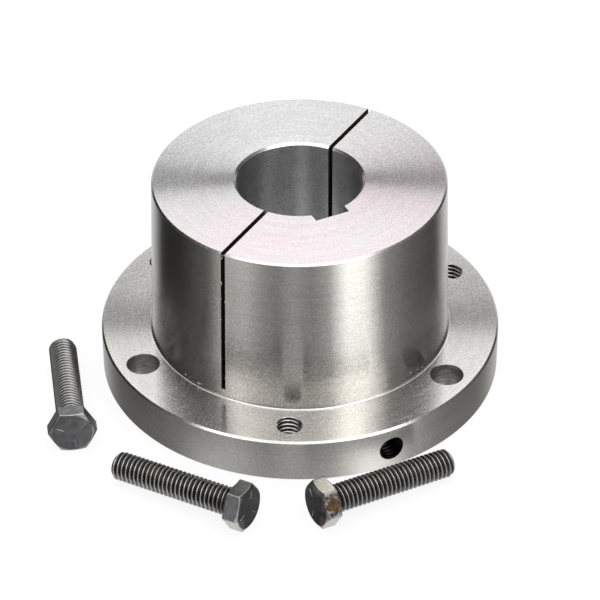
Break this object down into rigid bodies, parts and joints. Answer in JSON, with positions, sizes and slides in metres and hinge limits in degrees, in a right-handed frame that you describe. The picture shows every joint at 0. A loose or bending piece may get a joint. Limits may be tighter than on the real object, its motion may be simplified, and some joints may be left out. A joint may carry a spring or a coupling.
{
  "type": "quick disconnect bushing",
  "caption": "Flanged tapered shaft bushing with a split barrel, keyed bore and bolt holes in its flange, and the hexagon cap screws that draw it into a hub.",
  "frame": {"origin": "centre of the bore at the flange's back face", "axes": "+Z along the bore, from the flange's back face to the nose; -Y through the middle of the keyway and the set screw hole"},
  "size_m": [0.1659, 0.1578, 0.073],
  "materials": {
    "turned_steel": "turned and faced bare steel",
    "dark_steel": "dark plated steel"
  },
  "bodies": {
    "root": {"bushing": "turned_steel", "cap_screw_left": "dark_steel", "cap_screw_front": "dark_steel", "cap_screw_right": "dark_steel"}
  },
  "joints": []
}
